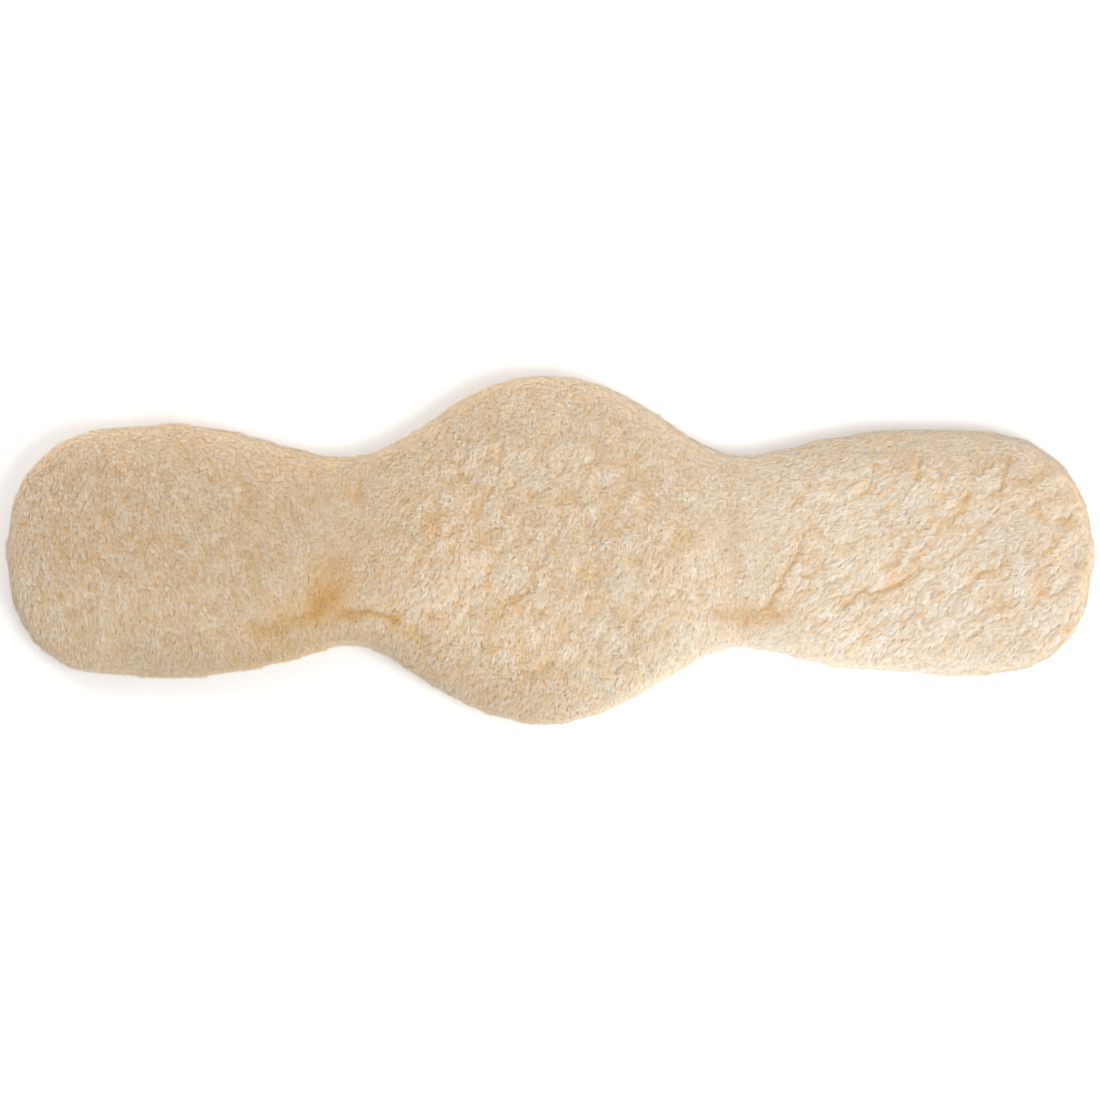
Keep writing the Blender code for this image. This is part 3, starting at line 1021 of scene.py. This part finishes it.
def half_run(side, inset):
    """One line from the middle of the front, round the tip, to the middle of the rear."""
    front, rear = half_lines(side, inset)
    return np.concatenate([front, rear[-2::-1]])


def mesh_object(name, points, faces):
    mesh = bpy.data.meshes.new(name)
    mesh.from_pydata(np.asarray(points).reshape(-1, 3).tolist(), [], faces)
    bm = bmesh.new()
    bm.from_mesh(mesh)
    bmesh.ops.recalc_face_normals(bm, faces=bm.faces)
    bm.to_mesh(mesh)
    bm.free()
    made = bpy.data.objects.new(name, mesh)
    bpy.context.collection.objects.link(made)
    return made


print("the run round a half at its binding:", len(half_run(1, 0.015)), "points")

# %% [markdown]
# ## The back cloth
# The back is a plain woven cloth, cut a few millimetres inside the binding's outer edge. It is thinner than
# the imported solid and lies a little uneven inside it, as cloth does between its seams. It is made in the
# same two halves as the fleece.

# %% The back cloth
CLOTH_INSET = cad_high.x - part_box("backing_right_arm")[1][0]
CLOTH_LOW, CLOTH_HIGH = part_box("backing_centre")[0][2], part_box("backing_centre")[1][2]
CLOTH_THICK = 0.8 * MM
CLOTH_WAVE = 0.2 * MM
CLOTH_ACROSS = 30


def back_cloth(name, side):
    """A flat cloth between the two edges of one half."""
    front, rear = (line[:-1] for line in half_lines(side, CLOTH_INSET))
    share = np.linspace(0, 1, CLOTH_ACROSS + 1)[None, :, None]
    flat = front[:, None] * (1 - share) + rear[:, None] * share
    wave = CLOTH_WAVE * random_hills(flat[..., 0] / MM, flat[..., 1] / MM, 13, 91)
    points = np.concatenate([flat, ((CLOTH_LOW + CLOTH_HIGH) / 2 + wave)[..., None]], axis=2)
    row = CLOTH_ACROSS + 1
    faces = []
    for i in range(len(front) - 1):
        for k in range(CLOTH_ACROSS):
            a = i * row + k
            faces.append((a, a + 1, a + row + 1, a + row))
    made = mesh_object(name, points, faces)
    thick = made.modifiers.new("thick", "SOLIDIFY")
    thick.thickness = CLOTH_THICK
    thick.offset = 0
    thick.use_rim = False  # the binding covers the edge, and the halves meet without a wall
    apply_modifiers(made)
    made.data.shade_smooth()
    return made, float(np.linalg.norm(front - rear, axis=1).max())


for hand, side in HANDS:
    cloth, cloth_wide = back_cloth(f"back_cloth_{hand}", side)
    fold_half(cloth)
    middle = ["backing_centre"] if side < 0 else []
    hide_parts(f"backing_{hand}_arm", f"backing_{hand}_waist", *middle)

# %% [markdown]
# ## The binding
# A ribbed tape covers the join of fleece and cloth. It is swept along the run of each half. Its section is
# a flat arch, because a sewn tape is pulled down along both its edges. Each point stores how far along the
# tape it is, and the ribs of the weave follow that.

# %% The binding
BINDING_OUTER = cad_high.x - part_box("binding_right_arm")[1][0]
BINDING_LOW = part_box("binding_centre_front")[0][2]
BINDING_WIDE = 10 * MM
BINDING_SHAPE = [  # mm in from the outer edge, mm above the lowest point
    (0.0, 0.66), (0.0, 0.32), (0.5, 0.14), (2.5, 0.03), (5.0, 0.0), (7.5, 0.03), (9.5, 0.14), (10.0, 0.32),
    (10.0, 0.66), (5.0, 0.66),
]
BINDING_MIDDLE = {"left": "binding_centre_front", "right": "binding_centre_rear"}


def loft(name, rows):
    """A skin over closed rows of points, with both ends closed."""
    n, k = rows.shape[:2]
    faces = []
    for i in range(n - 1):
        for j in range(k):
            a, b = i * k + j, i * k + (j + 1) % k
            faces.append((a, b, b + k, a + k))
    faces.append(tuple(range(k)))
    faces.append(tuple(range((n - 1) * k, n * k)))
    return mesh_object(name, rows, faces)


def run_length(line):
    return np.concatenate([[0], np.cumsum(np.linalg.norm(np.diff(line, axis=0), axis=1))])


def binding_tape(name, side):
    rows = []
    for inset, height in BINDING_SHAPE:
        run = half_run(side, BINDING_OUTER + inset * MM)
        rows.append(np.column_stack([run, np.full(len(run), BINDING_LOW + height * MM)]))
    made = loft(name, np.stack(rows, axis=1))
    along = run_length(half_run(side, BINDING_OUTER + BINDING_WIDE / 2))
    stored = made.data.attributes.new("along", "FLOAT", "POINT")
    stored.data.foreach_set("value", np.repeat(along, len(BINDING_SHAPE)).astype(np.float32))
    made.data.shade_smooth()
    return made, float(along[-1])


for hand, side in HANDS:
    tape, tape_long = binding_tape(f"binding_tape_{hand}", side)
    fold_half(tape)
    waist = [f"binding_{hand}_waist_{edge_name}" for edge_name in ("front", "rear")]
    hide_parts(f"binding_{hand}_arm", *waist, BINDING_MIDDLE[hand])
    print(tape.name, "is", round(tape_long, 3), "m long")

# %% [markdown]
# ## Hook tape
# Each tape is a thin woven base with rows of small bent hooks that stand on it and point down. One hook is
# a short square wire that bends over at its end. Every second row faces the other way, so that the tape
# grips both ways.

# %% Hook tape
TAPES = {
    "hook_tape_centre_front": "centre",
    "hook_tape_centre_rear": "centre",
    "hook_tape_left_inner": "left_arm",
    "hook_tape_left_outer": "left_arm",
    "hook_tape_right_inner": "right_arm",
    "hook_tape_right_outer": "right_arm",
}
TAPE_BASE = 0.6 * MM  # thickness of the woven base
TAPE_CORNER = 4.0 * MM
TAPE_MARGIN = 3.4 * MM  # bare strip for the stitches
HOOK_PITCH = 1.7 * MM
HOOK_WIRE = 0.22 * MM
HOOK_PATH = [(0.0, 0.9), (0.0, 0.36), (0.13, 0.16), (0.38, 0.1), (0.58, 0.26)]  # mm forwards, mm up


def rounded(low, high, corner, steps=5):
    """A rectangle with round corners, as points in order."""
    points = []
    corners = ((high[0], high[1]), (low[0], high[1]), (low[0], low[1]), (high[0], low[1]))
    for turn, (x, y) in enumerate(corners):
        middle_x = x - corner if turn in (0, 3) else x + corner
        middle_y = y - corner if turn in (0, 1) else y + corner
        for a in np.radians(np.linspace(90 * turn, 90 * turn + 90, steps)):
            points.append((middle_x + corner * math.cos(a), middle_y + corner * math.sin(a)))
    return np.array(points)


def thin_slab(name, line, low, high, round_off=0.12 * MM):
    """A flat piece with slightly softened edges."""
    centre = line.mean(axis=0)
    inner = centre + (line - centre) * (1 - round_off / np.abs(line - centre).max())
    rows = [(inner, low), (line, low + round_off), (line, high - round_off), (inner, high)]
    return loft(name, np.stack([np.column_stack([p, np.full(len(p), z)]) for p, z in rows]))


def hook_points(low, high):
    """Rings of four points along the wire of every hook, for hooks in even rows."""
    xs = np.arange(low[0] + TAPE_MARGIN, high[0] - TAPE_MARGIN, HOOK_PITCH)
    ys = np.arange(low[1] + TAPE_MARGIN, high[1] - TAPE_MARGIN, HOOK_PITCH)
    places = np.array([(x, y) for x in xs for y in ys])
    facing = np.where(np.round((places[:, 0] - xs[0]) / HOOK_PITCH).astype(int) % 2 == 0, 1.0, -1.0)
    path = np.array(HOOK_PATH) * MM
    way = np.gradient(path, axis=0)
    way /= np.linalg.norm(way, axis=1)[:, None]
    half = HOOK_WIRE / 2
    rings = []
    for (forward, height), (wf, wh) in zip(path, way):
        for sx, sn in ((-1, -1), (1, -1), (1, 1), (-1, 1)):
            x = places[:, 0] + sx * half
            y = places[:, 1] + facing * (forward - sn * half * wh)
            rings.append(np.column_stack([x, y, np.full(len(places), height + sn * half * wf)]))
    return np.stack(rings, axis=1)


def tube_faces(count, rings, sides):
    """Faces for many short tubes: each has rings of the same number of points, and closed ends."""
    one = [tuple(range(sides)), tuple(range((rings - 1) * sides, rings * sides))]
    for i in range(rings - 1):
        for j in range(sides):
            a, b = i * sides + j, i * sides + (j + 1) % sides
            one.append((a, b, b + sides, a + sides))
    return [tuple(v + rings * sides * n for v in face) for n in range(count) for face in one]


tape_lines = {}
for tape_name, body in TAPES.items():
    low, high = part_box(tape_name)
    tape_lines[tape_name] = rounded(low, high, TAPE_CORNER)
    base = thin_slab(tape_name.replace("tape", "base"), tape_lines[tape_name], high[2] - TAPE_BASE, high[2])
    wires = hook_points(low, high)
    wire_faces = tube_faces(len(wires), len(HOOK_PATH), 4)
    hooks = mesh_object(tape_name.replace("hook_tape", "hooks"), wires, wire_faces)
    for made in (base, hooks):
        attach(made, body)
    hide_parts(tape_name)
    print(tape_name, "has", len(wires), "hooks")

# %% [markdown]
# ## Stitches
# Thread holds the back together: two rows along the binding, one row round each hook tape and one round the
# label. Each stitch is a short tube of thread, half sunk into what it holds, with thinner ends where it
# dives in.

# %% Stitches
STITCH = 2.7 * MM
STITCH_GAP = 1.1 * MM
THREAD = 0.22 * MM  # radius
STITCH_RINGS = ((-0.5, 0.3, 0.7), (-0.3, 1.0, 0.0), (0.3, 1.0, 0.0), (0.5, 0.3, 0.7))  # along, width, sunk
THREAD_SIDES = 6


def stitch_points(line, height):
    """The points of evenly spaced stitches along a line."""
    gone = run_length(line)
    at = np.arange(STITCH / 2 + STITCH_GAP / 2, gone[-1] - STITCH / 2, STITCH + STITCH_GAP)
    place = np.column_stack([np.interp(at, gone, line[:, k]) for k in (0, 1)])
    way = unit(np.diff(line, axis=0))[np.searchsorted(gone, at) - 1]
    sideways = np.column_stack([-way[:, 1], way[:, 0]])
    rings = []
    for along, wide, sunk in STITCH_RINGS:
        for a in 2 * math.pi * np.arange(THREAD_SIDES) / THREAD_SIDES:
            flat = place + way * along * STITCH + sideways * THREAD * wide * math.cos(a)
            up = height + THREAD * (sunk + wide * math.sin(a))
            rings.append(np.column_stack([flat, np.full(len(flat), up)]))
    return np.stack(rings, axis=1)


def sew(name, rows):
    """One mesh of stitches along several lines, each given with its height."""
    points = np.concatenate([stitch_points(line, height) for line, height in rows])
    made = mesh_object(name, points, tube_faces(len(points), len(STITCH_RINGS), THREAD_SIDES))
    made.data.shade_smooth()
    print(name, "has", len(points), "stitches")
    return made


def closed(line):
    return np.concatenate([line, line[:1]])


def inside(line, margin):
    """A rounded rectangle drawn in towards its middle by a margin."""
    low, high = line.min(axis=0), line.max(axis=0)
    return closed(rounded(low + margin, high - margin, max(TAPE_CORNER - margin, 0.5 * MM)))


sewn_pieces = []
for hand, side in HANDS:
    rows = [(half_run(side, BINDING_OUTER + at * BINDING_WIDE), BINDING_LOW + 0.1 * MM) for at in (0.2, 0.8)]
    seam = sew(f"binding_stitches_{hand}", rows)
    fold_half(seam)
    sewn_pieces.append(seam)
for body in ("centre", "left_arm", "right_arm"):
    rows = []
    for tape_name, tape_body in TAPES.items():
        if tape_body == body:
            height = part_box(tape_name)[1][2] - TAPE_BASE
            rows.append((inside(tape_lines[tape_name], 1.6 * MM), height))
    seam = sew(f"tape_stitches_{body}", rows)
    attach(seam, body)
    sewn_pieces.append(seam)
label_low, label_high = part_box("care_label")
label_line = rounded(label_low, label_high, 1.5 * MM)
seam = sew("label_stitches", [(inside(label_line, 1.6 * MM), label_low[2])])
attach(seam, "centre")
sewn_pieces.append(seam)

# %% [markdown]
# ## Cloth, tape and foam finishes
# Everything woven shares one node group: threads that pass over and under one another, from two sets of
# ribs. Each material picks its own thread spacing and colour. The binding's ribs follow the tape instead of
# the frame's axes.

# %% A node group for weave
def maths(tree, operation, a, b=0.0):
    made = tree.nodes.new("ShaderNodeMath")
    made.operation = operation
    for place, value in enumerate((a, b)):
        if isinstance(value, bpy.types.NodeSocket):
            tree.links.new(value, made.inputs[place])
        else:
            made.inputs[place].default_value = value
    return made.outputs[0]


def weave_group():
    """Plain weave: 1 on the crown of a thread and 0 in the holes. Threads is how many there are per metre."""
    group, given, made = new_group(
        "weave", [("Threads", "NodeSocketFloat", 1000.0)], [("Height", "NodeSocketFloat")]
    )
    place = group.nodes.new("ShaderNodeTexCoord")
    apart = group.nodes.new("ShaderNodeSeparateXYZ")
    group.links.new(place.outputs["Object"], apart.inputs["Vector"])
    waves = []
    for axis in ("X", "Y"):
        turns = maths(group, "MULTIPLY", apart.outputs[axis], given.outputs["Threads"])
        waves.append(maths(group, "SINE", maths(group, "MULTIPLY", turns, math.pi)))
    over = maths(group, "MULTIPLY", waves[0], waves[1])
    group.links.new(maths(group, "ABSOLUTE", over), made.inputs["Height"])
    return group


def bumped(tree, shader, height, depth, strength=0.8):
    bump = node(tree, "ShaderNodeBump", Strength=strength, Distance=depth)
    tree.links.new(height, bump.inputs["Height"])
    tree.links.new(bump.outputs["Normal"], shader.inputs["Normal"])


weave = weave_group()
print("node group:", weave.name)

# %% [markdown]
# ## Woven, sewn and foam materials
# The back and the label are woven, the binding is ribbed, thread and hooks have one colour with a light
# mottle, and the foam has open cells. The back isn't on show in use, so its colours are quiet and a little
# darker than the pile.

# %% Woven, sewn and foam materials
def woven_material(name, colour, shadow, threads, roughness=0.9, depth=0.0003):
    material, tree, shader = new_material(name, roughness)
    height = place_group(tree, weave, Threads=threads).outputs["Height"]
    thread = mix_colour(tree, height, shadow, colour)
    patches = scaled(tree, noise(tree, 60.0, 4.0), 0.3, 0.7, 0.9, 1.05)
    worn_and_shaded = mix_colour(tree, 1.0, thread, patches, "MULTIPLY")
    tree.links.new(worn_and_shaded, shader.inputs["Base Color"])
    shader.inputs["Sheen Weight"].default_value = 0.15
    bumped(tree, shader, height, depth)
    return material


def ribbed_material(name, colour, shadow, rib):
    """Ribs across a tape, one for each rib length along it."""
    material, tree, shader = new_material(name, 0.65)
    turns = maths(tree, "MULTIPLY", attribute(tree, "along"), 2 * math.pi / rib)
    height = scaled(tree, maths(tree, "SINE", turns), -1.0, 1.0)
    ribs = mix_colour(tree, height, shadow, colour)
    patches = scaled(tree, noise(tree, 300.0), 0.3, 0.7, 0.92, 1.05)
    worn_and_shaded = mix_colour(tree, 1.0, ribs, patches, "MULTIPLY")
    tree.links.new(worn_and_shaded, shader.inputs["Base Color"])
    bumped(tree, shader, height, 0.0002)
    return material


def mottled_material(name, colour, scale, roughness, low=0.92, high=1.05):
    """One colour with a light, even mottle, for thread, nylon and foam."""
    material, tree, shader = new_material(name, roughness)
    mottle = scaled(tree, noise(tree, scale), 0.3, 0.7, low, high)
    tree.links.new(mix_colour(tree, 1.0, colour, mottle, "MULTIPLY"), shader.inputs["Base Color"])
    return material, tree, shader


def foam_material():
    """Open cells: small round hollows all over the foam."""
    material, tree, shader = mottled_material("foam cells", (0.62, 0.58, 0.46, 1), 200.0, 0.95, 0.85, 1.05)
    place = tree.nodes.new("ShaderNodeTexCoord")
    cells = node(tree, "ShaderNodeTexVoronoi", Scale=900.0)
    tree.links.new(place.outputs["Object"], cells.inputs["Vector"])
    bumped(tree, shader, cells.outputs["Distance"], 0.0006)
    return material


def dress(obj, material):
    obj.data.materials.clear()
    obj.data.materials.append(material)


back_weave = woven_material("back weave", (0.62, 0.52, 0.40, 1), (0.40, 0.31, 0.21, 1), 900.0)
label_weave = woven_material("label satin", (0.84, 0.82, 0.76, 1), (0.70, 0.67, 0.60, 1), 2600.0, 0.5, 0.0001)
base_weave = woven_material("tape base", (0.62, 0.54, 0.43, 1), (0.44, 0.37, 0.27, 1), 1500.0, 0.75)
binding_ribs = ribbed_material("binding ribs", (0.55, 0.44, 0.31, 1), (0.33, 0.25, 0.16, 1), 0.0009)
nylon = mottled_material("hook nylon", (0.64, 0.56, 0.45, 1), 500.0, 0.4)[0]
thread_cotton = mottled_material("thread", (0.66, 0.57, 0.44, 1), 2500.0, 0.8, 0.8, 1.1)[0]
foam_cells = foam_material()
for hand, _ in HANDS:
    dress(bpy.data.objects[f"back_cloth_{hand}"], back_weave)
    dress(bpy.data.objects[f"binding_tape_{hand}"], binding_ribs)
for tape_name in TAPES:
    dress(bpy.data.objects[tape_name.replace("tape", "base")], base_weave)
    dress(bpy.data.objects[tape_name.replace("hook_tape", "hooks")], nylon)
for seam in sewn_pieces:
    dress(seam, thread_cotton)
for name in ("foam_core_centre", "foam_core_left_arm", "foam_core_right_arm"):
    dress(frame["nodes"][name], foam_cells)
dress(frame["nodes"]["care_label"], label_weave)
print("every piece has its material")
